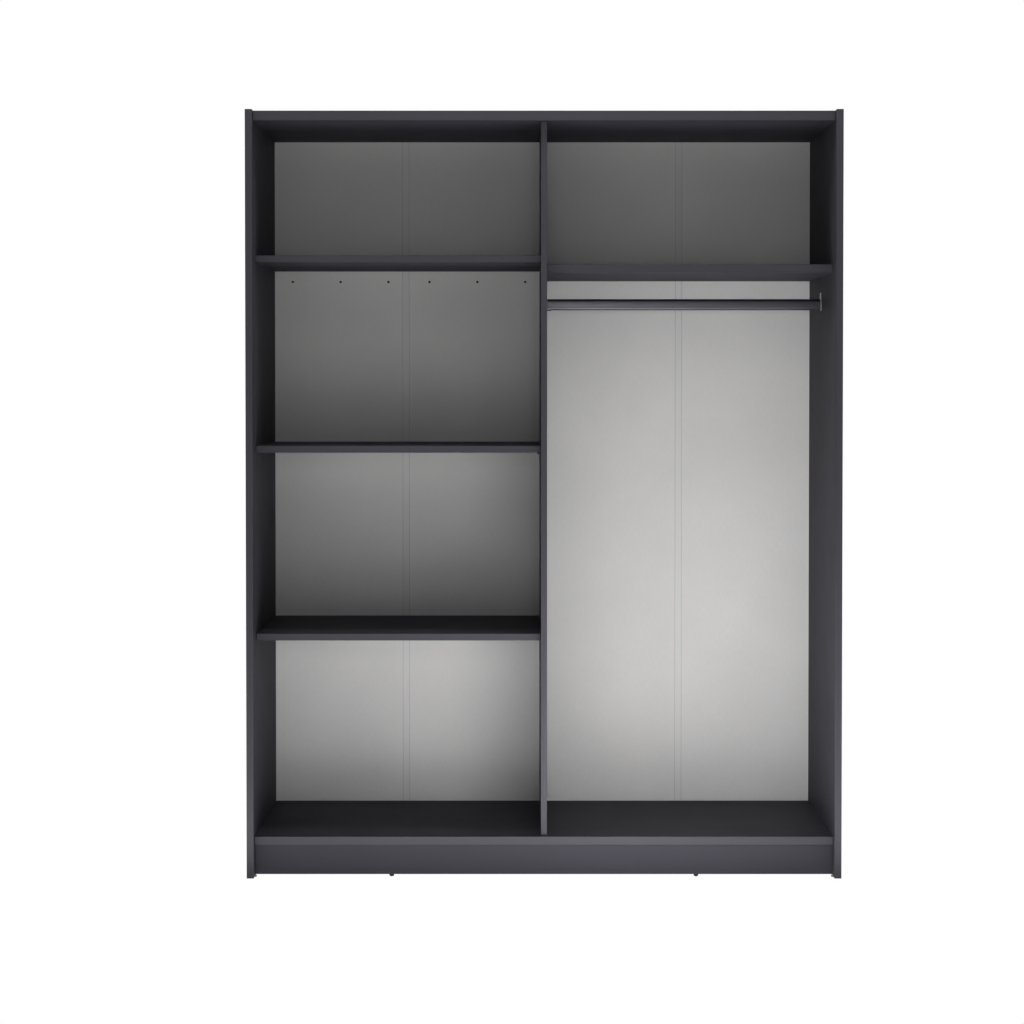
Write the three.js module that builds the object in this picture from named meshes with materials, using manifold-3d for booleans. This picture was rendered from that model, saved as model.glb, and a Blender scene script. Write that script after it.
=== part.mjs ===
// Open wardrobe carcass made for sliding doors: two bays, fixed and loose shelves, a hanging rail.
// Millimetres, +Z up. The open front faces -Y and the left side is at -X.
// The origin is on the floor under the middle of the whole carcass.
import * as THREE from "three";
import { mergeVertices } from "three/addons/utils/BufferGeometryUtils.js";
import Module from "manifold-3d";

const wasm = await Module();
wasm.setup();

// Overall size
const WIDTH = 1550;
const DEPTH = 600;
const HEIGHT = 2005;

// Boards
const SIDE_THICK = 18;
const TOP_THICK = 25;
const BOTTOM_THICK = 22;
const PARTITION_THICK = 16;
const PLINTH_THICK = 18;
const PLINTH_HEIGHT = 80;
const LEFT_SHELF_THICK = 18;
const RIGHT_SHELF_THICK = 22;

// How far each board's front edge stands behind the front edges of the sides
const TOP_SETBACK = 20;
const BOTTOM_SETBACK = 30;
const PARTITION_SETBACK = 45;
const PLINTH_SETBACK = 50;
const SHELF_SETBACK = 75;
const REAR_PLINTH_INSET = 40;

// Heights. The lower shelves are placed from the bottom panel, the upper ones from the top panel.
const SIDE_LIFT = 5;
const PLINTH_LIFT = 7;
const TOP_DROP = 2;
const LOWER_BAY_HEIGHT = 510;
const MIDDLE_BAY_HEIGHT = 476;
const TOP_LEFT_BAY_HEIGHT = 347;
const TOP_RIGHT_BAY_HEIGHT = 370.5;

// Back: four sheets, joined in each bay by a plastic H profile
const SHEET_THICK = 3;
const SHEET_INSET = 3;
const SHEET_LAP = 3;
const JOINER_WIDTH = 20;
const JOINER_WALL = 0.8;
const JOINER_WEB = 1.5;
const JOINER_END_GAP = 1;

// Hanging rail: an upright oval tube dropped into two open supports
const RAIL_TALL = 30;
const RAIL_WIDE = 15;
const RAIL_WALL = 1;
const RAIL_DROP = 75.5;
const RAIL_BEHIND_FRONT = 324;
const SUPPORT_PLATE = 2;
const SUPPORT_WALL = 1.5;
const SUPPORT_REACH = 12;
const SUPPORT_WIDE = 24;
const SUPPORT_RISE = 18;
const RAIL_SCREW_SHANK = 4;
const RAIL_SCREW_HEAD = 8;
const RAIL_SCREW_GRIP = 12;
const RAIL_SCREW_BRIM = 0.2;
const RAIL_SCREW_DROP = 8;

// Cam fittings: a drum in the board, and a bolt from the drum into the upright panel
const CAM_DIAMETER = 15;
const CAM_PAST_AXIS = 3.5;
const CAM_REACH = 34;
const CAM_FROM_EDGE = 60;
const BOLT_DIAMETER = 6;
const BOLT_GRIP = 11;

// Shelf pins under the loose shelves
const PIN_DIAMETER = 5;
const PIN_CHAMFER = 0.6;
const PIN_GRIP = 8;
const PIN_REACH = 9;
const PIN_FROM_EDGE = 60;

// Screws that hold the partition between the top and bottom panels
const SCREW_HEAD = 10;
const SCREW_HEAD_TALL = 3;
const SCREW_SHANK = 7;
const SCREW_THREAD = 5;
const SCREW_GRIP = 30;
const SCREW_FROM_EDGE = 90;

// Glides: a plastic foot with a nail
const SIDE_GLIDE_DIAMETER = 20;
const SIDE_GLIDE_INBOARD = 2;
const SIDE_GLIDE_FROM_EDGE = 50;
const PLINTH_GLIDE_DIAMETER = 12;
const PLINTH_GLIDE_FROM_MIDDLE = 400;
const GLIDE_EDGE = 1.2;
const GLIDE_NAIL = 2;
const GLIDE_NAIL_GRIP = 15;

// Clearances
const SEAT_GAP = 0.3;
const BORE_PLAY = 0.4;
const RAIL_PLAY = 0.5;
const RAIL_END_PLAY = 1;
const LOOSE_SHELF_PLAY = 1;
const SHELF_REAR_GAP = 3;

const ROUND_STEPS = 12;
const CAM_STEPS = 16;
const RAIL_ARC_STEPS = 8;

// Places worked out from the sizes above
const FRONT = -DEPTH / 2;
const JOINER_REAR = DEPTH / 2;
const SHEET_REAR = JOINER_REAR - JOINER_WALL - SEAT_GAP;
const SHEET_FRONT = SHEET_REAR - SHEET_THICK;
const BOARD_REAR = SHEET_FRONT - SEAT_GAP;
const SHELF_REAR = SHEET_FRONT - SHELF_REAR_GAP;
const OUTER = WIDTH / 2;
const INNER = OUTER - SIDE_THICK;
const PARTITION_HALF = PARTITION_THICK / 2;
const TOP_HIGH = HEIGHT - TOP_DROP;
const TOP_LOW = TOP_HIGH - TOP_THICK;
const BOTTOM_LOW = PLINTH_LIFT + PLINTH_HEIGHT + SEAT_GAP;
const BOTTOM_HIGH = BOTTOM_LOW + BOTTOM_THICK;
const LOWER_SHELF_LOW = BOTTOM_HIGH + LOWER_BAY_HEIGHT;
const MIDDLE_SHELF_LOW = LOWER_SHELF_LOW + LEFT_SHELF_THICK + MIDDLE_BAY_HEIGHT;
const UPPER_LEFT_LOW = TOP_LOW - TOP_LEFT_BAY_HEIGHT - LEFT_SHELF_THICK;
const UPPER_RIGHT_LOW = TOP_LOW - TOP_RIGHT_BAY_HEIGHT - RIGHT_SHELF_THICK;
const RAIL_Z = UPPER_RIGHT_LOW - RAIL_DROP;
const RAIL_Y = FRONT + RAIL_BEHIND_FRONT;

// Geometry helpers

function vector([x, y, z]) {
  return new THREE.Vector3(x, y, z);
}

function box(low, high) {
  const size = vector(high).sub(vector(low));
  const middle = vector(low).add(vector(high)).multiplyScalar(0.5);
  return new THREE.BoxGeometry(...size.toArray()).translate(...middle.toArray());
}

// Turns a shape made along +Y to run along a direction, and moves its base to a point.
function aim(geometry, base, direction) {
  const turn = new THREE.Quaternion();
  turn.setFromUnitVectors(new THREE.Vector3(0, 1, 0), vector(direction).normalize());
  return geometry.applyQuaternion(turn).translate(...base);
}

function rod(diameter, start, end, steps = ROUND_STEPS) {
  const along = vector(end).sub(vector(start));
  const length = along.length();
  const cylinder = new THREE.CylinderGeometry(diameter / 2, diameter / 2, length, steps);
  return aim(cylinder.translate(0, length / 2, 0), start, along.toArray());
}

// A turned piece. Its profile is a list of [radius, distance along the direction].
function turned(profile, base, direction, steps = ROUND_STEPS) {
  const points = profile.map(([radius, along]) => new THREE.Vector2(radius, along));
  return aim(new THREE.LatheGeometry(points, steps), base, direction);
}

function toSolid(geometry) {
  const bare = new THREE.BufferGeometry();
  bare.setAttribute("position", geometry.getAttribute("position").clone());
  bare.setIndex(geometry.index);
  const merged = mergeVertices(bare, 1e-3);
  return new wasm.Manifold(
    new wasm.Mesh({
      numProp: 3,
      vertProperties: new Float32Array(merged.attributes.position.array),
      triVerts: new Uint32Array(merged.index.array),
    }),
  );
}

function toGeometry(solid) {
  const mesh = solid.getMesh();
  const geometry = new THREE.BufferGeometry();
  geometry.setAttribute("position", new THREE.BufferAttribute(mesh.vertProperties, 3));
  geometry.setIndex(new THREE.BufferAttribute(mesh.triVerts, 1));
  return geometry;
}

function cut(geometry, cutters) {
  if (cutters.length === 0) return geometry;
  return toGeometry(cutters.reduce((solid, cutter) => solid.subtract(toSolid(cutter)), toSolid(geometry)));
}

function join(first, second) {
  return toGeometry(toSolid(first).add(toSolid(second)));
}

// Finishes
const FINISHES = {
  board: { color: 0x4d4d51, roughness: 0.6, metalness: 0 },
  sheet: { color: 0xb4b4b5, roughness: 0.7, metalness: 0 },
  joiner: { color: 0xa9a9aa, roughness: 0.5, metalness: 0 },
  rail: { color: 0x5a5b5f, roughness: 0.35, metalness: 0.9 },
  chrome: { color: 0xc9cbce, roughness: 0.15, metalness: 1 },
  zinc: { color: 0x9fa2a6, roughness: 0.4, metalness: 1 },
  glide: { color: 0x2b2b2d, roughness: 0.5, metalness: 0 },
};

const wardrobe = new THREE.Group();

function add(name, geometry, finish) {
  const mesh = new THREE.Mesh(geometry, new THREE.MeshStandardMaterial(FINISHES[finish]));
  mesh.name = name;
  wardrobe.add(mesh);
}

// Boards, as the two corners of each
const FIXED_END = INNER - SEAT_GAP;
const LOOSE_LOW_X = -INNER + LOOSE_SHELF_PLAY;
const LOOSE_HIGH_X = -PARTITION_HALF - LOOSE_SHELF_PLAY;
const PARTITION_FACE = PARTITION_HALF + SEAT_GAP;
const SHELF_FRONT = FRONT + SHELF_SETBACK;
const PLINTH_FRONT = FRONT + PLINTH_SETBACK;
const PLINTH_HIGH = PLINTH_LIFT + PLINTH_HEIGHT;
const REAR_PLINTH_REAR = BOARD_REAR - REAR_PLINTH_INSET;

const boards = {
  side_panel_left: [[-OUTER, FRONT, SIDE_LIFT], [-INNER, BOARD_REAR, HEIGHT]],
  side_panel_right: [[INNER, FRONT, SIDE_LIFT], [OUTER, BOARD_REAR, HEIGHT]],
  top_panel: [
    [-FIXED_END, FRONT + TOP_SETBACK, TOP_LOW],
    [FIXED_END, BOARD_REAR, TOP_HIGH],
  ],
  bottom_panel: [
    [-FIXED_END, FRONT + BOTTOM_SETBACK, BOTTOM_LOW],
    [FIXED_END, BOARD_REAR, BOTTOM_HIGH],
  ],
  partition: [
    [-PARTITION_HALF, FRONT + PARTITION_SETBACK, BOTTOM_HIGH + SEAT_GAP],
    [PARTITION_HALF, BOARD_REAR, TOP_LOW - SEAT_GAP],
  ],
  plinth_front: [
    [-FIXED_END, PLINTH_FRONT, PLINTH_LIFT],
    [FIXED_END, PLINTH_FRONT + PLINTH_THICK, PLINTH_HIGH],
  ],
  plinth_rear: [
    [-FIXED_END, REAR_PLINTH_REAR - PLINTH_THICK, PLINTH_LIFT],
    [FIXED_END, REAR_PLINTH_REAR, PLINTH_HIGH],
  ],
  shelf_left_upper: [
    [-FIXED_END, SHELF_FRONT, UPPER_LEFT_LOW],
    [-PARTITION_FACE, SHELF_REAR, UPPER_LEFT_LOW + LEFT_SHELF_THICK],
  ],
  shelf_left_middle: [
    [LOOSE_LOW_X, SHELF_FRONT, MIDDLE_SHELF_LOW],
    [LOOSE_HIGH_X, SHELF_REAR, MIDDLE_SHELF_LOW + LEFT_SHELF_THICK],
  ],
  shelf_left_lower: [
    [LOOSE_LOW_X, SHELF_FRONT, LOWER_SHELF_LOW],
    [LOOSE_HIGH_X, SHELF_REAR, LOWER_SHELF_LOW + LEFT_SHELF_THICK],
  ],
  shelf_right_upper: [
    [PARTITION_FACE, SHELF_FRONT, UPPER_RIGHT_LOW],
    [FIXED_END, SHELF_REAR, UPPER_RIGHT_LOW + RIGHT_SHELF_THICK],
  ],
};

// Bores are gathered for each board, and cut when the boards are added.
const bores = Object.fromEntries(Object.keys(boards).map((name) => [name, []]));

function bore(board, diameter, start, end, steps = ROUND_STEPS) {
  bores[board].push(rod(diameter + 2 * BORE_PLAY, start, end, steps));
}

// A cam drum in the end of a board, open at its mouth, with its bolt in the panel beside that end.
// side is -1 for the board's left end and 1 for its right end.
function camFitting(name, board, panel, side, mouth, along) {
  const [low, high] = boards[board];
  const middle = low.map((value, axis) => (value + high[axis]) / 2);
  const upright = mouth[2] !== 0;
  const thickness = upright ? high[2] - low[2] : high[1] - low[1];
  const end = side < 0 ? low[0] : high[0];
  const centre = upright ? [0, along, middle[2]] : [0, middle[1], along];
  centre[0] = end - side * CAM_REACH;
  const off = (distance) => centre.map((value, axis) => value + mouth[axis] * distance);
  const face = thickness / 2;
  const drum = rod(CAM_DIAMETER, off(-CAM_PAST_AXIS), off(face - SEAT_GAP), CAM_STEPS);
  bore(board, CAM_DIAMETER, off(-CAM_PAST_AXIS - SEAT_GAP), off(face + 1), CAM_STEPS);
  const tip = [end + side * (SEAT_GAP + BOLT_GRIP), centre[1], centre[2]];
  const deeper = [tip[0] + side * SEAT_GAP, tip[1], tip[2]];
  bore(board, BOLT_DIAMETER, centre, deeper);
  bore(panel, BOLT_DIAMETER, centre, deeper);
  add(name, join(drum, rod(BOLT_DIAMETER, centre, tip)), "zinc");
}

const DOWN = [0, 0, -1];
const REARWARD = [0, 1, 0];
const FORWARD = [0, -1, 0];

function camPair(board, panel, side, label) {
  const [low, high] = boards[board];
  camFitting(`cam_${label}_front`, board, panel, side, DOWN, low[1] + CAM_FROM_EDGE);
  camFitting(`cam_${label}_rear`, board, panel, side, DOWN, high[1] - CAM_FROM_EDGE);
}

camPair("top_panel", "side_panel_left", -1, "top_left");
camPair("top_panel", "side_panel_right", 1, "top_right");
camPair("bottom_panel", "side_panel_left", -1, "bottom_left");
camPair("bottom_panel", "side_panel_right", 1, "bottom_right");
camPair("shelf_left_upper", "side_panel_left", -1, "left_shelf_outer");
camPair("shelf_left_upper", "partition", 1, "left_shelf_inner");
camPair("shelf_right_upper", "partition", -1, "right_shelf_inner");
camPair("shelf_right_upper", "side_panel_right", 1, "right_shelf_outer");

const PLINTH_CAM_Z = PLINTH_LIFT + PLINTH_HEIGHT / 2;
camFitting("cam_plinth_front_left", "plinth_front", "side_panel_left", -1, REARWARD, PLINTH_CAM_Z);
camFitting("cam_plinth_front_right", "plinth_front", "side_panel_right", 1, REARWARD, PLINTH_CAM_Z);
camFitting("cam_plinth_rear_left", "plinth_rear", "side_panel_left", -1, FORWARD, PLINTH_CAM_Z);
camFitting("cam_plinth_rear_right", "plinth_rear", "side_panel_right", 1, FORWARD, PLINTH_CAM_Z);

// A plain peg in a panel, with chamfered ends. The loose shelf lies on it.
function shelfPin(name, panel, faceX, side, y, shelfLow) {
  const z = shelfLow - SEAT_GAP - PIN_DIAMETER / 2;
  const radius = PIN_DIAMETER / 2;
  const profile = [
    [0, -PIN_GRIP],
    [radius - PIN_CHAMFER, -PIN_GRIP],
    [radius, PIN_CHAMFER - PIN_GRIP],
    [radius, PIN_REACH - PIN_CHAMFER],
    [radius - PIN_CHAMFER, PIN_REACH],
    [0, PIN_REACH],
  ];
  bore(panel, PIN_DIAMETER, [faceX - side * (PIN_GRIP + SEAT_GAP), y, z], [faceX + side, y, z]);
  add(name, turned(profile, [faceX, y, z], [side, 0, 0]), "zinc");
}

for (const label of ["middle", "lower"]) {
  const [low, high] = boards[`shelf_left_${label}`];
  const places = { front: low[1] + PIN_FROM_EDGE, rear: high[1] - PIN_FROM_EDGE };
  for (const [place, y] of Object.entries(places)) {
    shelfPin(`pin_${label}_outer_${place}`, "side_panel_left", -INNER, 1, y, low[2]);
    shelfPin(`pin_${label}_inner_${place}`, "partition", -PARTITION_HALF, -1, y, low[2]);
  }
}

// Screws through the top and bottom panels into the partition's ends
function partitionScrew(name, panel, y, faceZ, inward, panelThick) {
  const tip = panelThick + SEAT_GAP + SCREW_GRIP;
  const profile = [
    [0, SEAT_GAP],
    [SCREW_HEAD / 2, SEAT_GAP],
    [SCREW_HEAD / 2, SEAT_GAP + SCREW_HEAD_TALL],
    [SCREW_SHANK / 2, SEAT_GAP + SCREW_HEAD_TALL],
    [SCREW_SHANK / 2, panelThick],
    [SCREW_THREAD / 2, panelThick],
    [SCREW_THREAD / 2, tip],
    [0, tip],
  ];
  const at = (depth) => [0, y, faceZ + inward * depth];
  const headSeat = 2 * SEAT_GAP + SCREW_HEAD_TALL;
  bore(panel, SCREW_HEAD, at(-1), at(headSeat));
  bore(panel, SCREW_SHANK, at(0), at(panelThick + 1));
  bore("partition", SCREW_THREAD, at(panelThick), at(tip + SEAT_GAP));
  add(name, turned(profile, at(0), [0, 0, inward]), "zinc");
}

const SCREW_PLACES = {
  front: FRONT + PARTITION_SETBACK + SCREW_FROM_EDGE,
  rear: BOARD_REAR - SCREW_FROM_EDGE,
};
for (const [place, y] of Object.entries(SCREW_PLACES)) {
  partitionScrew(`partition_screw_top_${place}`, "top_panel", y, TOP_HIGH, -1, TOP_THICK);
  partitionScrew(`partition_screw_bottom_${place}`, "bottom_panel", y, BOTTOM_LOW, 1, BOTTOM_THICK);
}

// Glides nailed into the bottom edges of the sides and of the front plinth
function glide(name, board, x, y, lift, diameter, foot) {
  const tall = lift - SEAT_GAP;
  const profile = [
    ...foot,
    [diameter / 2, tall],
    [GLIDE_NAIL / 2, tall],
    [GLIDE_NAIL / 2, lift + GLIDE_NAIL_GRIP],
    [0, lift + GLIDE_NAIL_GRIP],
  ];
  bore(board, GLIDE_NAIL, [x, y, lift - 1], [x, y, lift + GLIDE_NAIL_GRIP + SEAT_GAP]);
  add(name, turned(profile, [x, y, 0], [0, 0, 1]), "glide");
}

const SIDE_GLIDE_FOOT = [
  [0, 0],
  [SIDE_GLIDE_DIAMETER / 2 - GLIDE_EDGE, 0],
  [SIDE_GLIDE_DIAMETER / 2, GLIDE_EDGE],
];
const sideGlideX = OUTER - SIDE_THICK / 2 - SIDE_GLIDE_INBOARD;
const sideGlidePlaces = {
  front: FRONT + SIDE_GLIDE_FROM_EDGE,
  rear: BOARD_REAR - SIDE_GLIDE_FROM_EDGE,
};
for (const [place, y] of Object.entries(sideGlidePlaces)) {
  for (const [hand, side] of [["left", -1], ["right", 1]]) {
    const board = `side_panel_${hand}`;
    const x = side * sideGlideX;
    glide(`glide_side_${hand}_${place}`, board, x, y, SIDE_LIFT, SIDE_GLIDE_DIAMETER, SIDE_GLIDE_FOOT);
  }
}

// The plinth's glides have a domed foot with a small flat where it meets the floor.
const plinthGlideRadius = PLINTH_GLIDE_DIAMETER / 2;
const PLINTH_GLIDE_FOOT = [
  [0, 0],
  [plinthGlideRadius / 2, 0],
  [plinthGlideRadius * Math.cos(Math.PI / 6), plinthGlideRadius / 4],
  [plinthGlideRadius, plinthGlideRadius / 2],
];
const plinthGlideY = PLINTH_FRONT + PLINTH_THICK / 2;
for (const [hand, side] of [["left", -1], ["right", 1]]) {
  const x = side * PLINTH_GLIDE_FROM_MIDDLE;
  const name = `glide_plinth_${hand}`;
  glide(name, "plinth_front", x, plinthGlideY, PLINTH_LIFT, PLINTH_GLIDE_DIAMETER, PLINTH_GLIDE_FOOT);
}

// Hanging rail and its supports. Outlines are drawn in Y and Z, then run along X.
function alongX(shape, startX, length) {
  const geometry = new THREE.ExtrudeGeometry(shape, {
    depth: length,
    bevelEnabled: false,
    curveSegments: RAIL_ARC_STEPS,
  });
  const turn = new THREE.Matrix4().makeBasis(
    new THREE.Vector3(0, 1, 0),
    new THREE.Vector3(0, 0, 1),
    new THREE.Vector3(1, 0, 0),
  );
  return geometry.applyMatrix4(turn).translate(startX, 0, 0);
}

// An upright oval: two half circles joined by straight sides.
function oval(outline, y, low, high, radius) {
  outline.moveTo(y + radius, low + radius);
  outline.lineTo(y + radius, high - radius);
  outline.absarc(y, high - radius, radius, 0, Math.PI, false);
  outline.lineTo(y - radius, low + radius);
  outline.absarc(y, low + radius, radius, Math.PI, 2 * Math.PI, false);
  return outline;
}

const RAIL_LOW = RAIL_Z - RAIL_TALL / 2;
const RAIL_HIGH = RAIL_Z + RAIL_TALL / 2;
const RAIL_RADIUS = RAIL_WIDE / 2;
const PLATE_OUT = SEAT_GAP + SUPPORT_PLATE;
const RAIL_START = PARTITION_HALF + PLATE_OUT + RAIL_END_PLAY;
const RAIL_END = INNER - PLATE_OUT - RAIL_END_PLAY;

const railOutline = oval(new THREE.Shape(), RAIL_Y, RAIL_LOW, RAIL_HIGH, RAIL_RADIUS);
const railBore = oval(
  new THREE.Path(),
  RAIL_Y,
  RAIL_LOW + RAIL_WALL,
  RAIL_HIGH - RAIL_WALL,
  RAIL_RADIUS - RAIL_WALL,
);
railOutline.holes.push(railBore);
add("hanging_rail", alongX(railOutline, RAIL_START, RAIL_END - RAIL_START), "rail");

// The cup is a U that is open at the top, so the rail lifts out of it.
function cupOutline() {
  const inner = RAIL_RADIUS + RAIL_PLAY;
  const outer = inner + SUPPORT_WALL;
  const centreZ = RAIL_LOW + RAIL_RADIUS;
  const lipZ = RAIL_HIGH - RAIL_RADIUS;
  const cup = new THREE.Shape();
  cup.moveTo(RAIL_Y + outer, lipZ);
  cup.lineTo(RAIL_Y + inner, lipZ);
  cup.lineTo(RAIL_Y + inner, centreZ);
  cup.absarc(RAIL_Y, centreZ, inner, 0, -Math.PI, true);
  cup.lineTo(RAIL_Y - inner, lipZ);
  cup.lineTo(RAIL_Y - outer, lipZ);
  cup.lineTo(RAIL_Y - outer, centreZ);
  cup.absarc(RAIL_Y, centreZ, outer, Math.PI, 2 * Math.PI, false);
  return cup;
}

const PLATE_LOW = RAIL_LOW - RAIL_PLAY - SUPPORT_WALL;
const PLATE_HIGH = RAIL_HIGH + SUPPORT_RISE;
const RAIL_SCREW_Z = PLATE_HIGH - RAIL_SCREW_DROP;

// The rail support on one upright, whose face is at faceX. inward points into the bay.
function railSupport(hand, panel, faceX, inward) {
  const plateStart = faceX + inward * SEAT_GAP;
  const cupEnd = plateStart + inward * (SUPPORT_PLATE + SUPPORT_REACH);
  const plateX = Math.min(plateStart, plateStart + inward * SUPPORT_PLATE);
  const plate = alongX(
    oval(new THREE.Shape(), RAIL_Y, PLATE_LOW, PLATE_HIGH, SUPPORT_WIDE / 2),
    plateX,
    SUPPORT_PLATE,
  );
  const cupStart = plateStart + (inward * SUPPORT_PLATE) / 2;
  const cup = alongX(cupOutline(), Math.min(cupStart, cupEnd), Math.abs(cupEnd - cupStart));
  const at = (depth) => [faceX + inward * depth, RAIL_Y, RAIL_SCREW_Z];
  // The head is countersunk into the plate, so the rail's end passes over it.
  const countersunk = (start, end, play) => [
    [0, start],
    [RAIL_SCREW_SHANK / 2 + play, start],
    [RAIL_SCREW_SHANK / 2 + play, SEAT_GAP],
    [RAIL_SCREW_HEAD / 2 + play, PLATE_OUT],
    [RAIL_SCREW_HEAD / 2 + play, end],
    [0, end],
  ];
  const hole = turned(countersunk(-1, PLATE_OUT + 1, BORE_PLAY), at(0), [inward, 0, 0]);
  add(`rail_support_${hand}`, cut(join(plate, cup), [hole]), "chrome");
  bore(panel, RAIL_SCREW_SHANK, at(-RAIL_SCREW_GRIP - SEAT_GAP), at(1));
  const screw = countersunk(-RAIL_SCREW_GRIP, PLATE_OUT + RAIL_SCREW_BRIM, 0);
  add(`rail_screw_${hand}`, turned(screw, at(0), [inward, 0, 0]), "chrome");
}

railSupport("left", "partition", PARTITION_HALF, 1);
railSupport("right", "side_panel_right", INNER, -1);

// Back sheets and their joiners
const SHEET_LOW = BOTTOM_LOW + SHEET_LAP;
const SHEET_HIGH = TOP_HIGH - SHEET_LAP;
const SHEET_OUTER = OUTER - SHEET_INSET;
const JOINER_X = SHEET_OUTER / 2;
const WEB_HALF = JOINER_WEB / 2 + SEAT_GAP;
const sheetSpans = [
  [-SHEET_OUTER, -JOINER_X - WEB_HALF],
  [-JOINER_X + WEB_HALF, -SEAT_GAP / 2],
  [SEAT_GAP / 2, JOINER_X - WEB_HALF],
  [JOINER_X + WEB_HALF, SHEET_OUTER],
];
sheetSpans.forEach(([lowX, highX], index) => {
  const sheet = box([lowX, SHEET_FRONT, SHEET_LOW], [highX, SHEET_REAR, SHEET_HIGH]);
  add(`back_sheet_${index + 1}`, sheet, "sheet");
});

function joinerOutline(x) {
  const half = JOINER_WIDTH / 2;
  const web = JOINER_WEB / 2;
  const channelFront = SHEET_FRONT - SEAT_GAP;
  const channelRear = SHEET_REAR + SEAT_GAP;
  const points = [
    [x - half, channelFront - JOINER_WALL],
    [x + half, channelFront - JOINER_WALL],
    [x + half, channelFront],
    [x + web, channelFront],
    [x + web, channelRear],
    [x + half, channelRear],
    [x + half, JOINER_REAR],
    [x - half, JOINER_REAR],
    [x - half, channelRear],
    [x - web, channelRear],
    [x - web, channelFront],
    [x - half, channelFront],
  ];
  return new THREE.Shape(points.map(([px, py]) => new THREE.Vector2(px, py)));
}

const JOINER_LOW = BOTTOM_HIGH + JOINER_END_GAP;
const JOINER_LENGTH = TOP_LOW - JOINER_END_GAP - JOINER_LOW;
for (const [hand, side] of [["left", -1], ["right", 1]]) {
  const outline = joinerOutline(side * JOINER_X);
  const profile = new THREE.ExtrudeGeometry(outline, { depth: JOINER_LENGTH, bevelEnabled: false });
  add(`back_joiner_${hand}`, profile.translate(0, 0, JOINER_LOW), "joiner");
}

for (const [name, [low, high]] of Object.entries(boards)) {
  add(name, cut(box(low, high), bores[name]), "board");
}

export default wardrobe;
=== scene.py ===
import math

import bmesh
import bpy
from bpy.props import FloatProperty, FloatVectorProperty, IntProperty, PointerProperty
from mathutils import Matrix, Vector


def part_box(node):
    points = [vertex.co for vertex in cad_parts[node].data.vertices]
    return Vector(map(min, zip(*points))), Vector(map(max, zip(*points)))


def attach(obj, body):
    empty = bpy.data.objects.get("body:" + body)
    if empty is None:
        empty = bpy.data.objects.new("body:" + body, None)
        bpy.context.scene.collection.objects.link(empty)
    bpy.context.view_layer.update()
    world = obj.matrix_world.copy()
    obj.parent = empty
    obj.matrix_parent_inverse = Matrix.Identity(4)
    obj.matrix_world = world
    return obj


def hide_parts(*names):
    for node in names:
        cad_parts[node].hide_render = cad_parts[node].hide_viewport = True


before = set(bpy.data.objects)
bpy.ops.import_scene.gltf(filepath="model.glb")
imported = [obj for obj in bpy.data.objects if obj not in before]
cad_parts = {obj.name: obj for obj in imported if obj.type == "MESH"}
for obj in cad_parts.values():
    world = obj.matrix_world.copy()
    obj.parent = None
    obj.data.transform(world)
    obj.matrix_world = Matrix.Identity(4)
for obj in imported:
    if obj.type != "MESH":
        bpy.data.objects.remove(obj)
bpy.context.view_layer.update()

bl_info = {
    "name": "Wardrobe Carcass",
    "version": (1, 0, 0),
    "blender": (4, 5, 0),
    "location": "View3D > Sidebar > Wardrobe",
    "description": "Finished boards, back, rail and fittings around the wardrobe's fixed frame",
    "category": "Object",
}

MM = 0.001
DOWN = Vector((0, 0, -1))
UP = Vector((0, 0, 1))
FORWARD = Vector((0, -1, 0))
REARWARD = Vector((0, 1, 0))
LEFTWARD = Vector((-1, 0, 0))
RIGHTWARD = Vector((1, 0, 0))

WHITE = (1.0, 1.0, 1.0)

# A face looks along an axis when its normal holds more than this much of it
FACING = 0.5
# Turned pieces and the rail keep a crisp edge where their faces meet at more than this
CRISP_ANGLE = math.radians(35)
# The square rims of the rail's supports are over this
RIM_ANGLE = math.radians(60)

# How far a cutter reaches out past the fitting that it makes room for
CUTTER_OVERLAP = 1.0 * MM
# Depth of the room for a partition screw's head
SCREW_HEAD_DEPTH = 3.4 * MM
# How far a cam drum's open face lies under its board's face
DRUM_SINK = 0.3 * MM

# Each board with the body it moves with and the edges that have a band glued on
BOARDS = {
    "side_panel_left": ("carcass", ("front", "top", "low")),
    "side_panel_right": ("carcass", ("front", "top", "low")),
    "top_panel": ("carcass", ("front",)),
    "bottom_panel": ("carcass", ("front",)),
    "partition": ("carcass", ("front",)),
    "plinth_front": ("carcass", ("low",)),
    "plinth_rear": ("carcass", ("low",)),
    "shelf_left_upper": ("carcass", ("front",)),
    "shelf_left_middle": ("middle_shelf", ("front",)),
    "shelf_left_lower": ("lower_shelf", ("front",)),
    "shelf_right_upper": ("carcass", ("front",)),
}

# Each run of cam fittings: its label, its board, the board's end (-1 is left), and the drum's open side
CAM_RUNS = (
    ("top_left", "top_panel", -1, DOWN),
    ("top_right", "top_panel", 1, DOWN),
    ("bottom_left", "bottom_panel", -1, DOWN),
    ("bottom_right", "bottom_panel", 1, DOWN),
    ("left_shelf_outer", "shelf_left_upper", -1, DOWN),
    ("left_shelf_inner", "shelf_left_upper", 1, DOWN),
    ("right_shelf_inner", "shelf_right_upper", -1, DOWN),
    ("right_shelf_outer", "shelf_right_upper", 1, DOWN),
)
PLINTH_CAMS = (
    ("cam_plinth_front_left", "plinth_front", -1, REARWARD),
    ("cam_plinth_front_right", "plinth_front", 1, REARWARD),
    ("cam_plinth_rear_left", "plinth_rear", -1, FORWARD),
    ("cam_plinth_rear_right", "plinth_rear", 1, FORWARD),
)
CAPPED_BOARDS = ("top_panel", "shelf_left_upper", "shelf_right_upper")

# The boards that shelf pins stand in, with a word of those pins' names and the way into the board
PIN_HOSTS = {"side_panel_left": ("outer", LEFTWARD), "partition": ("inner", RIGHTWARD)}
# The same for the boards that partition screws go through
SCREW_HOSTS = {"top_panel": ("top", DOWN), "bottom_panel": ("bottom", UP)}

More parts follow.
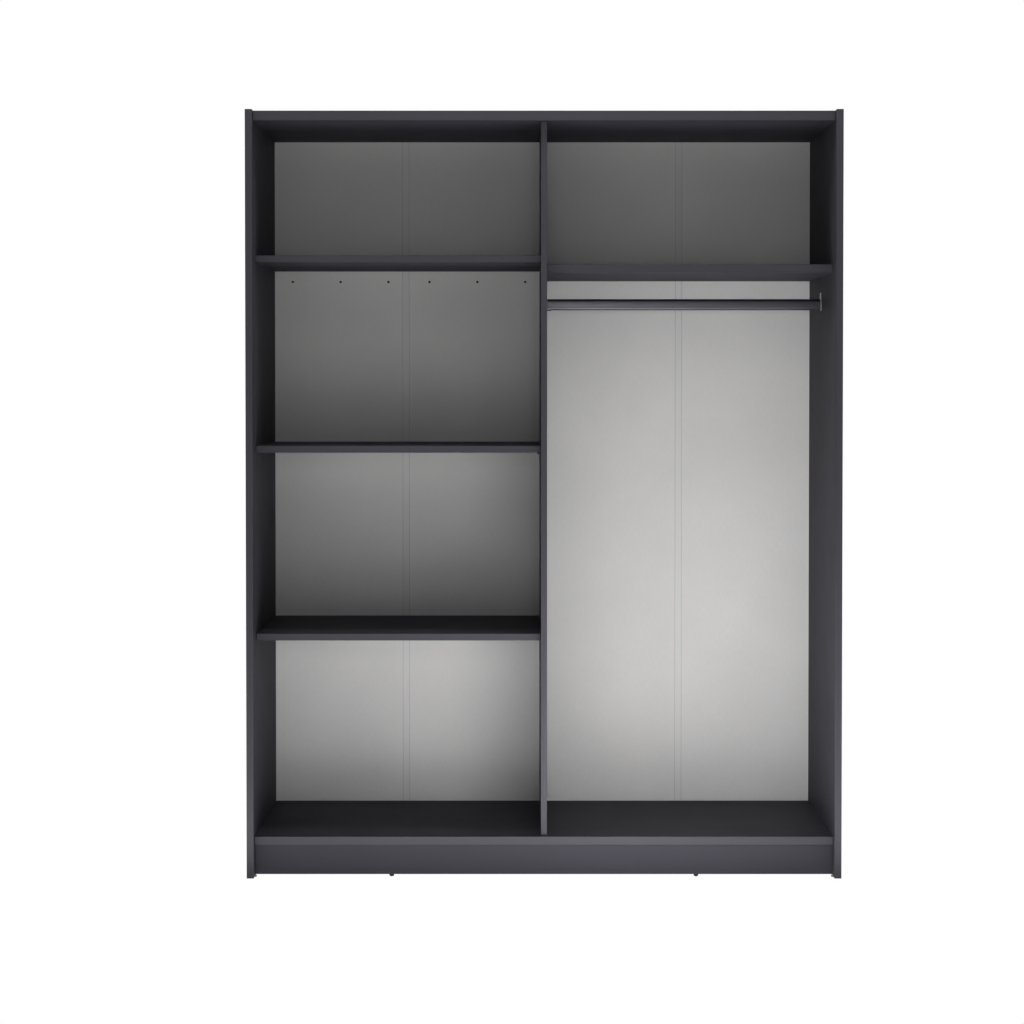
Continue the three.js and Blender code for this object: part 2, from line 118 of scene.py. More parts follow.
BACK_SHEETS = tuple(f"back_sheet_{number}" for number in range(1, 5))


def srgb(red, green, blue):
    """A colour given as display values from 0 to 255, in the linear values that shaders take."""
    values = [channel / 255 for channel in (red, green, blue)]
    return tuple(v / 12.92 if v <= 0.04045 else ((v + 0.055) / 1.055) ** 2.4 for v in values)


def length(name, description, millimetres):
    """A length property with its default in millimetres."""
    default = millimetres * MM
    return FloatProperty(name=name, description=description, default=default, unit="LENGTH", precision=5)


def colour(name, description, red, green, blue):
    """A colour property with its default as display values."""
    default = srgb(red, green, blue)
    return FloatVectorProperty(
        name=name, description=description, default=default, size=3, subtype="COLOR", min=0, max=1
    )


class WardrobeSizes(bpy.types.PropertyGroup):
    """Small sizes that the frame doesn't hold."""

    band_thick: length("Edge band", "Thickness of the band on a board's edge", 1.0)
    band_round: length("Band radius", "Radius along the outer edges of a band", 0.8)
    raw_round: length("Raw edge radius", "Softening of a board's uncovered edges", 0.3)
    glue_line: length("Glue line", "Gap between a band and its board", 0.05)
    bore_play: length("Bore play", "Gap around a cam drum or a pin in its bore", 0.3)
    cap_diameter: length("Cap diameter", "Diameter of a cap over a cam drum", 17.5)
    cap_thick: length("Cap thickness", "How far a cap stands off its board", 1.2)
    nail_head: length("Nail head", "Diameter of a nail head on the back", 5.0)
    nail_length: length("Nail length", "Length of a nail in the back", 20.0)
    nail_spacing: length("Nail spacing", "Distance between nails along a board's edge", 120.0)
    # The plugs are painted shade: dark domes put in the back sheets' spare holes, standing in for the shade
    # inside them.
    shade_plug_diameter: length("Plug diameter", "Diameter of a plug in a sheet's spare hole", 6.6)
    shade_plug_height: length("Plug height", "Height of the row of plugs above the floor", 1583.5)
    shade_plug_first: length("First plug", "Distance from a sheet's left edge to its first plug", 65.5)
    shade_plug_spacing: length("Plug spacing", "Distance between the plugs of one sheet", 135.5)
    round_steps: IntProperty(
        name="Round steps", description="Faces around a turned piece", default=40, min=12
    )


class WardrobeColours(bpy.types.PropertyGroup):
    """Colours of the finishes."""

    board: colour("Board", "Melamine face of the boards", 73, 72, 79)
    band: colour("Edge band", "Band along the boards' edges", 80, 79, 85)
    flakes: colour("Chipboard", "Flakes in the boards' raw edges", 168, 136, 98)
    sheet: colour("Back sheet", "Painted face of the back sheets", 229, 228, 227)
    fibre: colour("Hardboard", "Unpainted rear face of the back sheets", 126, 96, 66)
    joiner: colour("Joiner", "Plastic profile between back sheets", 224, 224, 224)
    rail: colour("Rail", "Coating of the hanging rail", 94, 93, 98)
    chrome: colour("Chrome", "Rail supports and their screws", 222, 224, 228)
    zinc: colour("Zinc", "Cams, screws and nails", 176, 178, 182)
    burnished: colour("Burnished steel", "Shelf pins", 74, 72, 72)
    # The plugs in this colour are painted shade, standing in for the shade inside the back sheets' holes.
    dark_plastic: colour("Dark plastic", "Caps, plugs and plinth glides", 44, 44, 47)
    grey_plastic: colour("Grey plastic", "Glides under the sides", 152, 152, 154)


class WardrobeStage(bpy.types.PropertyGroup):
    """Camera, floor and light."""

    lens: FloatProperty(name="Lens", description="Focal length in millimetres", default=86.9)
    camera_place: FloatVectorProperty(
        name="Camera", description="Where the camera stands",
        default=(-0.059, -6.714, 1.282), size=3, unit="LENGTH",
    )
    camera_pitch: FloatProperty(
        name="Pitch", description="How far the camera looks down", default=math.radians(1.36), subtype="ANGLE"
    )
    shift_x: FloatProperty(name="Shift X", description="Sideways shift of the lens", default=-0.0092)
    shift_y: FloatProperty(name="Shift Y", description="Upright shift of the lens", default=-0.0633)
    floor: colour("Floor", "Pale studio floor and backdrop", 255, 255, 255)
    glow_below: FloatProperty(
        name="Glow from below", description="Strength of the light off the pale floor", default=1.0
    )
    glow_above: FloatProperty(
        name="Glow from above", description="Strength of the light off the ceiling", default=0.05
    )


# Materials


def start_material(name):
    """A new node material, with its node tree and its main shader."""
    material = bpy.data.materials.new(name)
    material.use_nodes = True
    tree = material.node_tree
    return material, tree, tree.nodes["Principled BSDF"]


def object_pattern(tree, scale=(1, 1, 1)):
    """Object coordinates with a scale along each axis. A pattern is drawn out where it is under 1."""
    coordinates = tree.nodes.new("ShaderNodeTexCoord")
    mapping = tree.nodes.new("ShaderNodeMapping")
    mapping.inputs["Scale"].default_value = scale
    tree.links.new(coordinates.outputs["Object"], mapping.inputs["Vector"])
    return mapping.outputs["Vector"]


def noise(tree, vector, scale, detail, roughness=0.5):
    """The value of a noise pattern, with scale in waves for each metre."""
    texture = tree.nodes.new("ShaderNodeTexNoise")
    texture.inputs["Scale"].default_value = scale
    texture.inputs["Detail"].default_value = detail
    texture.inputs["Roughness"].default_value = roughness
    tree.links.new(vector, texture.inputs["Vector"])
    return texture.outputs["Fac"]


def ramp(tree, value, stops):
    """A colour that follows a value through stops of (place, colour)."""
    node = tree.nodes.new("ShaderNodeValToRGB")
    elements = node.color_ramp.elements
    while len(elements) < len(stops):
        elements.new(1.0)
    for element, (place, shade) in zip(elements, stops, strict=True):
        element.position = place
        element.color = (*shade, 1.0)
    tree.links.new(value, node.inputs["Fac"])
    return node.outputs["Color"]


def scaled(shade, factor):
    """A colour made darker or lighter by a factor."""
    return tuple(min(1.0, channel * factor) for channel in shade)


def varied(tree, value, shade, darkest, lightest, places=(0.3, 0.7)):
    """A shade that runs between two factors of itself as a value runs between two places."""
    start, end = places
    return ramp(tree, value, [(start, scaled(shade, darkest)), (end, scaled(shade, lightest))])


def multiply(tree, first, second):
    """The product of two colours."""
    node = tree.nodes.new("ShaderNodeMix")
    node.data_type = "RGBA"
    node.blend_type = "MULTIPLY"
    node.inputs["Factor"].default_value = 1.0
    tree.links.new(first, node.inputs[6])
    tree.links.new(second, node.inputs[7])
    return node.outputs[2]


def mapped(tree, value, source, target):
    """A value moved from one range onto another."""
    node = tree.nodes.new("ShaderNodeMapRange")
    limits = ("From Min", "From Max", "To Min", "To Max")
    for limit, number in zip(limits, (*source, *target), strict=True):
        node.inputs[limit].default_value = number
    tree.links.new(value, node.inputs["Value"])
    return node.outputs["Result"]


def vary_roughness(tree, shader, value, low, high):
    """Roughness that runs from low to high with a value."""
    tree.links.new(mapped(tree, value, (0, 1), (low, high)), shader.inputs["Roughness"])


def off_centre(tree, value, centre):
    """How far a value is from a centre, either way."""
    gap = tree.nodes.new("ShaderNodeMath")
    gap.operation = "SUBTRACT"
    gap.inputs[1].default_value = centre
    tree.links.new(value, gap.inputs[0])
    size = tree.nodes.new("ShaderNodeMath")
    size.operation = "ABSOLUTE"
    tree.links.new(gap.outputs["Value"], size.inputs[0])
    return size.outputs["Value"]


def raise_surface(tree, shader, heights, distance, strength):
    """Bumps on the shader, each height as an output, one on top of the other."""
    normal = None
    for height in heights:
        bump = tree.nodes.new("ShaderNodeBump")
        bump.inputs["Strength"].default_value = strength
        bump.inputs["Distance"].default_value = distance
        tree.links.new(height, bump.inputs["Height"])
        if normal is not None:
            tree.links.new(normal, bump.inputs["Normal"])
        normal = bump.outputs["Normal"]
    tree.links.new(normal, shader.inputs["Normal"])


def melamine(name, shade, roughness, scale):
    """Printed melamine: an even tone with a fine pressed texture and a soft sheen."""
    material, tree, shader = start_material(name)
    grained = object_pattern(tree, scale)
    plain = object_pattern(tree)
    drift = varied(tree, noise(tree, plain, 2.5, 3), shade, 0.96, 1.04)
    specks = varied(tree, noise(tree, grained, 700, 3, 0.7), WHITE, 0.93, 1.0, (0.35, 0.65))
    tree.links.new(multiply(tree, drift, specks), shader.inputs["Base Color"])
    vary_roughness(tree, shader, noise(tree, plain, 9, 4), roughness - 0.05, roughness + 0.06)
    shader.inputs["Specular IOR Level"].default_value = 0.2
    pressed = [noise(tree, grained, 480, 2), noise(tree, plain, 1900, 2)]
    raise_surface(tree, shader, pressed, 0.04 * MM, 0.5)
    return material


def chipboard(shade):
    """The raw core of a board: pressed flakes with darker gaps."""
    material, tree, shader = start_material("chipboard")
    vector = object_pattern(tree, (0.45, 1, 1))
    flakes = tree.nodes.new("ShaderNodeTexVoronoi")
    flakes.inputs["Scale"].default_value = 420
    tree.links.new(vector, flakes.inputs["Vector"])
    stops = [(0.05, scaled(shade, 1.15)), (0.45, shade), (0.85, scaled(shade, 0.45))]
    tone = ramp(tree, flakes.outputs["Distance"], stops)
    stain = ramp(tree, noise(tree, vector, 130, 4, 0.7), [(0.35, (0.7, 0.66, 0.62)), (0.65, WHITE)])
    tree.links.new(multiply(tree, tone, stain), shader.inputs["Base Color"])
    shader.inputs["Roughness"].default_value = 0.88
    raise_surface(tree, shader, [flakes.outputs["Distance"]], 0.3 * MM, 0.7)
    return material


def painted_sheet(shade):
    """The lacquered face of a thin back sheet, with a faint roller texture."""
    material, tree, shader = start_material("sheet_paint")
    plain = object_pattern(tree)
    rolled = object_pattern(tree, (1, 1, 0.25))
    drift = varied(tree, noise(tree, plain, 4, 4), shade, 0.965, 1.02)
    streaks = varied(tree, noise(tree, rolled, 260, 3), WHITE, 0.97, 1.0)
    tree.links.new(multiply(tree, drift, streaks), shader.inputs["Base Color"])
    vary_roughness(tree, shader, noise(tree, plain, 30, 3), 0.5, 0.62)
    raise_surface(tree, shader, [noise(tree, rolled, 420, 2)], 0.05 * MM, 0.5)
    return material


def raw_hardboard(shade):
    """The bare rear face of a back sheet: matted brown fibres."""
    material, tree, shader = start_material("hardboard")
    fibres = object_pattern(tree, (1, 1, 0.35))
    stops = [(0.3, scaled(shade, 0.72)), (0.52, shade), (0.75, scaled(shade, 1.2))]
    tone = ramp(tree, noise(tree, fibres, 340, 6, 0.72), stops)
    cloud = ramp(tree, noise(tree, fibres, 7, 5), [(0.3, (0.86, 0.85, 0.84)), (0.7, WHITE)])
    tree.links.new(multiply(tree, tone, cloud), shader.inputs["Base Color"])
    shader.inputs["Roughness"].default_value = 0.82
    raise_surface(tree, shader, [noise(tree, fibres, 520, 5, 0.7)], 0.12 * MM, 0.6)
    return material


def moulded(name, shade, roughness):
    """Moulded plastic with a fine spark texture."""
    material, tree, shader = start_material(name)
    plain = object_pattern(tree)
    tree.links.new(varied(tree, noise(tree, plain, 160, 3), shade, 0.93, 1.05), shader.inputs["Base Color"])
    vary_roughness(tree, shader, noise(tree, plain, 60, 3), roughness - 0.05, roughness + 0.08)
    raise_surface(tree, shader, [noise(tree, plain, 1500, 2)], 0.04 * MM, 0.5)
    return material


def extruded_strip(name, shade, roughness, strip, edge_shade_width):
    """Plastic drawn out along its height, with painted shade darkening the two edges of a strip and of its
    mirror image.
    """
    material, tree, shader = start_material(name)
    low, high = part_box(strip)
    half_width = (high.x - low.x) / 2
    drawn = object_pattern(tree, (1, 1, 0.05))
    tone = varied(tree, noise(tree, drawn, 160, 2), shade, 0.985, 1.01)
    across = tree.nodes.new("ShaderNodeSeparateXYZ")
    tree.links.new(object_pattern(tree), across.inputs["Vector"])
    from_middle = off_centre(tree, off_centre(tree, across.outputs["X"], 0.0), abs(low.x + high.x) / 2)
    # Painted shade: the strip darkens to 0.78 near each edge, standing in for the shadow along the profile's
    # flange edges.
    edge = mapped(tree, from_middle, (half_width - edge_shade_width, half_width - edge_shade_width * 0.8), (1.0, 0.78))
    tree.links.new(multiply(tree, tone, edge), shader.inputs["Base Color"])
    shader.inputs["Roughness"].default_value = roughness
    raise_surface(tree, shader, [noise(tree, drawn, 900, 2)], 0.02 * MM, 0.4)
    return material


def metal(name, shade, roughness, metallic=1.0, scale=(1, 1, 1)):
    """Plated or coated metal, with faint marks drawn out where the scale is under 1."""
    material, tree, shader = start_material(name)
    marks = object_pattern(tree, scale)
    tree.links.new(varied(tree, noise(tree, marks, 240, 4), shade, 0.92, 1.04), shader.inputs["Base Color"])
    shader.inputs["Metallic"].default_value = metallic
    vary_roughness(tree, shader, noise(tree, marks, 420, 3), roughness * 0.8, roughness * 1.25)
    raise_surface(tree, shader, [noise(tree, marks, 900, 2)], 0.02 * MM, 0.4)
    return material


FINISHES = {}


def make_finishes(colours):
    """Makes every finish of the pieces, by its name."""
    upright, level = (1, 1, 0.3), (0.3, 1, 1)
    joiner_edge_shade_width = 1.8 * MM
    FINISHES["board_upright"] = melamine("board_upright", colours.board, 0.6, upright)
    FINISHES["board_level"] = melamine("board_level", colours.board, 0.6, level)
    FINISHES["band"] = melamine("edge_band", colours.band, 0.52, (1, 1, 1))
    FINISHES["chipboard"] = chipboard(colours.flakes)
    FINISHES["sheet"] = painted_sheet(colours.sheet)
    FINISHES["hardboard"] = raw_hardboard(colours.fibre)
    # The joiner's plastic carries painted shade along the edges of its strips.
    FINISHES["joiner"] = extruded_strip(
        "joiner_plastic", colours.joiner, 0.45, "back_joiner_right", joiner_edge_shade_width
    )
    FINISHES["rail"] = metal("rail_coating", colours.rail, 0.3, 0.75, (0.05, 1, 1))
    FINISHES["chrome"] = metal("chrome", colours.chrome, 0.32)
    FINISHES["zinc"] = metal("zinc", colours.zinc, 0.34)
    FINISHES["burnished"] = metal("burnished_steel", colours.burnished, 0.4)
    FINISHES["dark_plastic"] = moulded("dark_plastic", colours.dark_plastic, 0.45)
    FINISHES["grey_plastic"] = moulded("grey_plastic", colours.grey_plastic, 0.4)


# Mesh building


def block(low, high):
    """A bmesh box between two corners."""
    bm = bmesh.new()
    bmesh.ops.create_cube(bm, size=1)
    bmesh.ops.scale(bm, vec=high - low, verts=bm.verts)
    bmesh.ops.translate(bm, vec=(low + high) / 2, verts=bm.verts)
    return bm


def round_off(bm, edges, radius, segments=2):
    """Rounds edges and shades the new faces smooth."""
    made = bmesh.ops.bevel(
        bm, geom=edges, offset=radius, segments=segments, profile=0.5,
        affect="EDGES", material=-1, clamp_overlap=True,
    )
    for face in made["faces"]:
        face.smooth = True


def rims_of(bm):
    """The edges where a shape turns square."""
    return [e for e in bm.edges if e.is_manifold and e.calc_face_angle() > RIM_ANGLE]


def shade_by_angle(bm):
    """Smooth faces, with crisp edges between those that meet at a wide angle."""
    for face in bm.faces:
        face.smooth = True
    for edge in bm.edges:
        edge.smooth = not edge.is_manifold or edge.calc_face_angle() <= CRISP_ANGLE


def turned(profile, base, direction, steps):
    """A closed turned bmesh from a profile of (radius, distance along the direction)."""
    bm = bmesh.new()
    points = [bm.verts.new((radius, 0, along)) for radius, along in profile]
    edges = [bm.edges.new(pair) for pair in zip(points, points[1:], strict=False)]
    bmesh.ops.spin(
        bm, geom=points + edges, cent=(0, 0, 0), axis=(0, 0, 1),
        angle=2 * math.pi, steps=steps, use_merge=True,
    )
    bmesh.ops.remove_doubles(bm, verts=bm.verts, dist=1e-6)
    bmesh.ops.recalc_face_normals(bm, faces=bm.faces)
    turn = UP.rotation_difference(direction).to_matrix().to_4x4()
    bmesh.ops.transform(bm, matrix=Matrix.Translation(base) @ turn, verts=bm.verts)
    return bm


def rod(radius, base, direction, along, steps):
    """A plain closed cylinder."""
    return turned([(0, 0), (radius, 0), (radius, along), (0, along)], base, direction, steps)


def merged(parts):
    """One bmesh that holds several closed ones side by side."""
    whole = bmesh.new()
    for part in parts:
        mesh = bpy.data.meshes.new("part")
        part.to_mesh(mesh)
        part.free()
        whole.from_mesh(mesh)
        bpy.data.meshes.remove(mesh)
    return whole


def make_object(name, bm, finishes):
    """A new object from a bmesh, with its materials."""
    mesh = bpy.data.meshes.new(name)
    bm.to_mesh(mesh)
    bm.free()
    for finish in finishes:
        mesh.materials.append(FINISHES[finish])
    made = bpy.data.objects.new(name, mesh)
    bpy.context.scene.collection.objects.link(made)
    return made


def turned_object(name, profile, base, direction, steps, finishes):
    """A new object turned from a profile, smooth apart from its crisp edges."""
    bm = turned(profile, base, direction, steps)
    shade_by_angle(bm)
    return make_object(name, bm, finishes)


def carve(target, cutters):
    """Cuts closed bmeshes out of an object. The new faces take the target's last material."""
    last = len(target.data.materials) - 1
    for index, cutter in enumerate(cutters):
        for face in cutter.faces:
            face.material_index = last
        tool = make_object(f"cutter_{index}", cutter, [])
        for material in target.data.materials:
            tool.data.materials.append(material)
        modifier = target.modifiers.new(tool.name, "BOOLEAN")
        modifier.operation = "DIFFERENCE"
        modifier.solver = "EXACT"
        modifier.material_mode = "INDEX"
        modifier.object = tool
    tools = [modifier.object for modifier in target.modifiers]
    settle(target)
    for tool in tools:
        mesh = tool.data
        bpy.data.objects.remove(tool)
        bpy.data.meshes.remove(mesh)


def settle(target):
    """Applies an object's modifiers to its mesh."""
    bpy.context.view_layer.update()
    seen = target.evaluated_get(bpy.context.evaluated_depsgraph_get())
    mesh = bpy.data.meshes.new_from_object(seen)
    old = target.data
    name = old.name
    target.modifiers.clear()
    target.data = mesh
    bpy.data.meshes.remove(old)
    mesh.name = name


def finish_piece(piece, body, slot, *nodes):
    """Puts a piece on its body, in place of CAD nodes. The slot is not used."""
    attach(piece, body)
    if nodes:
        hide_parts(*nodes)


# Boards


def middle_of(low, high):
    """The point halfway between two corners."""
    return (low + high) / 2


def nodes_like(prefix, word=""):
    """The frame's nodes whose names start with a prefix and hold a word."""
    return [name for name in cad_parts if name.startswith(prefix) and word in name]


def core_box(node, banded, sizes):
    """The corners of a board without its bands."""
    low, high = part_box(node)
    trim = sizes.band_thick + sizes.glue_line
    if "front" in banded:
        low.y += trim
    if "top" in banded:
        high.z -= trim
    if "low" in banded:
        low.z += trim
    return low, high


def band_box(node, edge, sizes):
    """The corners of the band on one edge of a board."""
    low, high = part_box(node)
    if edge == "front":
        high.y = low.y + sizes.band_thick
        return low, high
    if node.startswith("side_panel"):
        low.y += sizes.band_thick + sizes.glue_line
    if edge == "top":
        low.z = high.z - sizes.band_thick
    else:
        high.z = low.z + sizes.band_thick
    return low, high


def board_finish(node):
    """The melamine that suits how a board stands."""
    upright = node.startswith(("side_panel", "partition"))
    return "board_upright" if upright else "board_level"


def face_axis(low, high):
    """The axis that a board is thinnest along."""
    size = high - low
    return min(range(3), key=lambda axis: size[axis])


def cam_places():
    """Each cam fitting as (node, board, end, mouth)."""
    for label, board, end, mouth in CAM_RUNS:
        for place in ("front", "rear"):
            yield f"cam_{label}_{place}", board, end, mouth
    yield from PLINTH_CAMS


def drum_of(node, end, mouth):
    """A cam drum's radius, the middle of its open face, its depth and the whole fitting's length."""
    low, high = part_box(node)
    depth_axis, width_axis = (2, 1) if mouth.z else (1, 2)
    radius = (high[width_axis] - low[width_axis]) / 2
    face = middle_of(low, high)
    face.x = high.x - radius if end < 0 else low.x + radius
    face[depth_axis] = high[depth_axis] if mouth[depth_axis] > 0 else low[depth_axis]
    return radius, face, high[depth_axis] - low[depth_axis], high.x - low.x


def cam_bores(board, sizes):
    """Cutters for the drums of a board's cam fittings."""
    for node, host, end, mouth in cam_places():
        if host == board:
            radius, face, depth, _ = drum_of(node, end, mouth)
            base = face + mouth * CUTTER_OVERLAP
            along = depth + sizes.bore_play + CUTTER_OVERLAP
            yield rod(radius + sizes.bore_play, base, -mouth, along, sizes.round_steps)


def pin_bores(board, sizes):
    """Cutters for the shelf pins that stand in a board."""
    word, inward = PIN_HOSTS[board]
    for pin in nodes_like("pin_", word):
        low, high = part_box(pin)
        start = middle_of(low, high)
        start.x = low.x if inward.x > 0 else high.x
        radius = (high.z - low.z) / 2 + sizes.bore_play
        yield rod(radius, start, inward, high.x - low.x + sizes.bore_play, sizes.round_steps)


def head_bores(board, sizes):
    """Cutters for the heads of the partition screws in a board."""
    word, inward = SCREW_HOSTS[board]
    for screw in nodes_like(f"partition_screw_{word}"):
        low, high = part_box(screw)
        face = middle_of(low, high)
        face.z = low.z if inward.z > 0 else high.z
        radius = (high.x - low.x) / 2 + sizes.bore_play
        base = face - inward * CUTTER_OVERLAP
        yield rod(radius, base, inward, SCREW_HEAD_DEPTH + CUTTER_OVERLAP, sizes.round_steps)


def bores_in(board, sizes):
    """Cutters for the bores that open on a board's faces."""
    cutters = list(cam_bores(board, sizes))
    if board in PIN_HOSTS:
        cutters += pin_bores(board, sizes)
    if board in SCREW_HOSTS:
        cutters += head_bores(board, sizes)
    return cutters


class WARDROBE_OT_boards(bpy.types.Operator):
    """Replaces each board with a softened, drilled and faced one"""

    bl_idname = "wardrobe.boards"
    bl_label = "Make Boards"

    def execute(self, context):
        sizes = context.scene.wardrobe_sizes
        for node, (body, banded) in BOARDS.items():
            low, high = core_box(node, banded, sizes)
            bm = block(low, high)
            thin = face_axis(low, high)
            for face in bm.faces:
                face.material_index = 0 if abs(face.normal[thin]) > FACING else 1
            round_off(bm, bm.edges[:], sizes.raw_round)
            board = make_object(node + "_board", bm, [board_finish(node), "chipboard"])
            cutters = bores_in(node, sizes)
            if cutters:
                carve(board, cutters)
            finish_piece(board, body, "graphite_board", node)
        return {"FINISHED"}


class WARDROBE_OT_bands(bpy.types.Operator):
    """Adds the bands glued on the boards' visible edges"""

    bl_idname = "wardrobe.bands"
    bl_label = "Make Edge Bands"

    def execute(self, context):
        sizes = context.scene.wardrobe_sizes
        outward = {"front": FORWARD, "top": UP, "low": DOWN}
        for node, (body, banded) in BOARDS.items():
            for edge in banded:
                bm = block(*band_box(node, edge, sizes))
                facing = outward[edge]
                rim = [e for e in bm.edges if any(f.normal.dot(facing) > FACING for f in e.link_faces)]
                round_off(bm, rim, sizes.band_round, 3)
                band = make_object(f"{node}_band_{edge}", bm, ["band"])
                finish_piece(band, body, "graphite_board")
        return {"FINISHED"}


# Back


def nail_rows(sizes):
    """Where the nails go through the back, as (x, z)."""
    edge_gap = 12 * MM
    beside_middle = 4 * MM
    bottom_z = middle_of(*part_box("bottom_panel")).z
    top_z = middle_of(*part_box("top_panel")).z
    side_x = middle_of(*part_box("side_panel_right")).x
    rise = top_z - bottom_z
    up_steps = round(rise / sizes.nail_spacing)
    for x in (-side_x, -beside_middle, beside_middle, side_x):
        for step in range(1, up_steps):
            # The two rows beside the middle share the partition's edge, so they take turns.
            if abs(x) > beside_middle or (step % 2 == 0) == (x > 0):
                yield x, bottom_z + rise * step / up_steps
    for low, high in map(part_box, BACK_SHEETS):
        across = max(2, round((high.x - low.x) / sizes.nail_spacing))
        for step in range(across + 1):
            x = low.x + edge_gap + (high.x - low.x - 2 * edge_gap) * step / across
            yield x, bottom_z
            yield x, top_z


class WARDROBE_OT_back(bpy.types.Operator):
    """Makes the back sheets, their nails, the dark plugs painted in as the shade of the sheets' holes, and
    the finish of the joiners between them with painted shade along their edges
    """

    bl_idname = "wardrobe.back"
    bl_label = "Make Back"

    def execute(self, context):
        sizes = context.scene.wardrobe_sizes
        for node in BACK_SHEETS:
            bm = block(*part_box(node))
            for face in bm.faces:
                face.material_index = 0 if face.normal.y < -FACING else 1
            round_off(bm, bm.edges[:], sizes.raw_round, 1)
            sheet = make_object(f"{node}_face", bm, ["sheet", "hardboard"])
            finish_piece(sheet, "carcass", "grey_sheet", node)
        for hand in ("left", "right"):
            self.finish_joiner(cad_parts[f"back_joiner_{hand}"])
        self.add_nails(sizes)
        self.add_shade_plugs(sizes)
        return {"FINISHED"}

    def finish_joiner(self, joiner):
        """Gives a carried-over joiner its plastic, with painted shade along its edges."""
        joiner.data.materials.clear()
        joiner.data.materials.append(FINISHES["joiner"])

    def add_nails(self, sizes):
        """One piece that holds every nail in the back."""
        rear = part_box("back_sheet_1")[1].y
        head = sizes.nail_head / 2
        shank = head * 0.3
        profile = [
            (0, -sizes.nail_length),
            (shank, -sizes.nail_length + 2 * shank),
            (shank, 0),
            (head, 0),
            (head * 0.92, 0.5 * MM),
            (head * 0.5, 0.75 * MM),
            (0, 0.8 * MM),
        ]
        nails = [turned(profile, Vector((x, rear, z)), REARWARD, 12) for x, z in nail_rows(sizes)]
        bm = merged(nails)
        shade_by_angle(bm)
        finish_piece(make_object("back_nails", bm, ["zinc"]), "carcass", "zinc_steel")

    def add_shade_plugs(self, sizes):
        """Dark plugs in the left bay's two sheets, with their domes inside the wardrobe: painted shade,
        standing in for the shade inside the sheets' holes.
        """
        dome = sizes.shade_plug_diameter / 2
        stem = dome * 0.6
        stem_length = 2.6 * MM
        profile = [
            (0, -stem_length),
            (stem, -stem_length),
            (stem, 0),
            (dome, 0),
            (dome, 0.25 * MM),
            (dome * 0.8, 0.7 * MM),
            (dome * 0.45, 0.95 * MM),
            (0, 1.0 * MM),
        ]
        for number in (1, 2):
            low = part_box(f"back_sheet_{number}")[0]
            for place in range(3):
                x = low.x + sizes.shade_plug_first + place * sizes.shade_plug_spacing
                base = Vector((x, low.y, sizes.shade_plug_height))
                name = f"sheet_shade_plug_{number}_{place + 1}"
                # Each plug is a dark stand-in for the shade inside a hole: painted shade.
                plug = turned_object(name, profile, base, FORWARD, 24, ["dark_plastic"])
                finish_piece(plug, "carcass", "glide_plastic")


# Hanging rail


def oval_tube(low, high, wall, steps):
    """An upright oval tube along X that fills a box."""
    bm = bmesh.new()
    radius = (high.y - low.y) / 2
    stretch = (high.z - low.z) / 2 - radius
    middle = middle_of(low, high)
    ring = bmesh.ops.create_circle(bm, segments=steps, radius=radius)["verts"]
    half_step = Matrix.Rotation(math.pi / steps, 4, "Z")
    stand = Matrix.Rotation(math.pi / 2, 4, "Y")
    bmesh.ops.transform(bm, matrix=stand @ half_step, verts=ring)
    for vert in ring:
        vert.co.z += math.copysign(stretch, vert.co.z)
    bmesh.ops.translate(bm, vec=(low.x, middle.y, middle.z), verts=ring)
    made = bmesh.ops.extrude_edge_only(bm, edges=bm.edges[:])
    far = [g for g in made["geom"] if isinstance(g, bmesh.types.BMVert)]
    bmesh.ops.translate(bm, vec=(high.x - low.x, 0, 0), verts=far)
    bmesh.ops.recalc_face_normals(bm, faces=bm.faces)
    axis = Vector((0, middle.y, middle.z))
    face = bm.faces[0]
    outward = face.calc_center_median() - axis
    outward.x = 0
    if face.normal.dot(outward) < 0:
        bmesh.ops.reverse_faces(bm, faces=bm.faces)
    bmesh.ops.solidify(bm, geom=bm.faces[:], thickness=wall)
    bmesh.ops.recalc_face_normals(bm, faces=bm.faces)
    return bm


